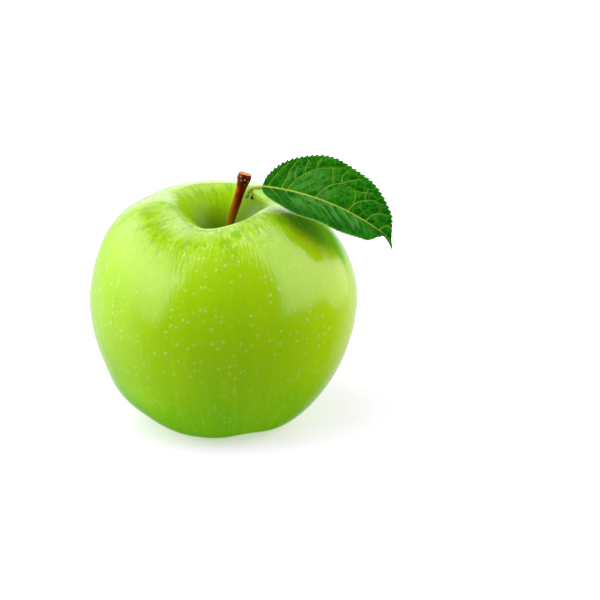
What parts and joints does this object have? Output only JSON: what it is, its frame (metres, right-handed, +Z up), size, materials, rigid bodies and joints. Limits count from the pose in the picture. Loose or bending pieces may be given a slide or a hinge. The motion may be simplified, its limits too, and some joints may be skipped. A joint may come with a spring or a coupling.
{
  "type": "green apple",
  "caption": "Whole green apple as picked, with its woody stem, a toothed leaf and the dried flower end, standing on the lobes of its base.",
  "frame": {"origin": "middle of the whole outline seen from above, leaf included, on the surface that the apple stands on; the core's axis stands 4.8 mm to the -X side of it", "axes": "+Z up along the core, +X towards the leaf, the front of the apple faces -Y"},
  "size_m": [0.0893, 0.0802, 0.0792],
  "materials": {
    "skin": "waxy, softly glossy apple skin",
    "bark": "smooth thin bark, cut end bare",
    "leaf": "satin leaf, paler below",
    "calyx": "dry and dull"
  },
  "bodies": {
    "root": {"fruit": "skin", "stem": "bark", "leaf": "leaf", "calyx": "calyx"}
  },
  "joints": []
}
